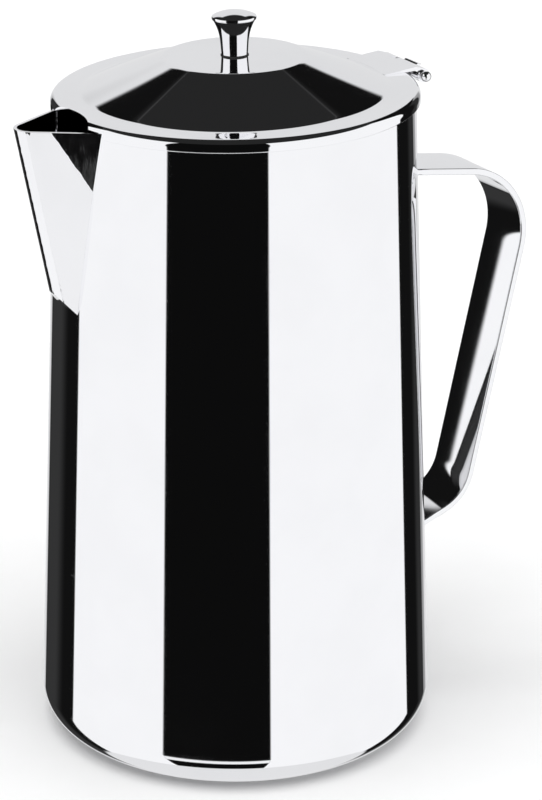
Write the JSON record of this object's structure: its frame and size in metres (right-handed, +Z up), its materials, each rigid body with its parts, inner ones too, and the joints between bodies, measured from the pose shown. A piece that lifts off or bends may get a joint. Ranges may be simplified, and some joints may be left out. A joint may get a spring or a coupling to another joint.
{
  "type": "coffee pot",
  "caption": "Tapered polished steel coffee pot with a V-shaped spout, a bent strap handle and a hinged, domed lid with a knob.",
  "frame": {"origin": "middle of the foot, on the surface that the pot stands on", "axes": "+Z up; the spout points to -X; the handle and the lid's hinge are at +X; the hinge pin runs along Y"},
  "size_m": [0.1663, 0.12, 0.2217],
  "materials": {
    "wall_steel": "mirror polished stainless steel",
    "base_steel": "mirror polished stainless steel",
    "spout_steel": "polished stainless steel",
    "strap_steel": "mirror polished stainless steel",
    "lid_steel": "mirror polished, spun stainless steel",
    "knob_steel": "polished, turned stainless steel",
    "hinge_steel": "polished stainless steel",
    "fixing_steel": "plain stainless steel",
    "gasket_rubber": "matt black"
  },
  "bodies": {
    "pot": {"body_wall": "wall_steel", "base_pan": "base_steel", "spout": "spout_steel", "handle": "strap_steel", "hinge_bracket": "hinge_steel", "hinge_pin": "hinge_steel"},
    "lid": {"lid_shell": "lid_steel", "hinge_leaf": "hinge_steel", "knob": "knob_steel", "knob_screw": "fixing_steel", "knob_washer": "fixing_steel", "knob_gasket": "gasket_rubber"}
  },
  "joints": [
    {"name": "lid_hinge", "type": "hinge", "parent": "pot", "child": "lid", "pos_m": [0.05716, 0, 0.19795], "axis": [0, 1, 0], "range_deg": [0, 110]}
  ]
}
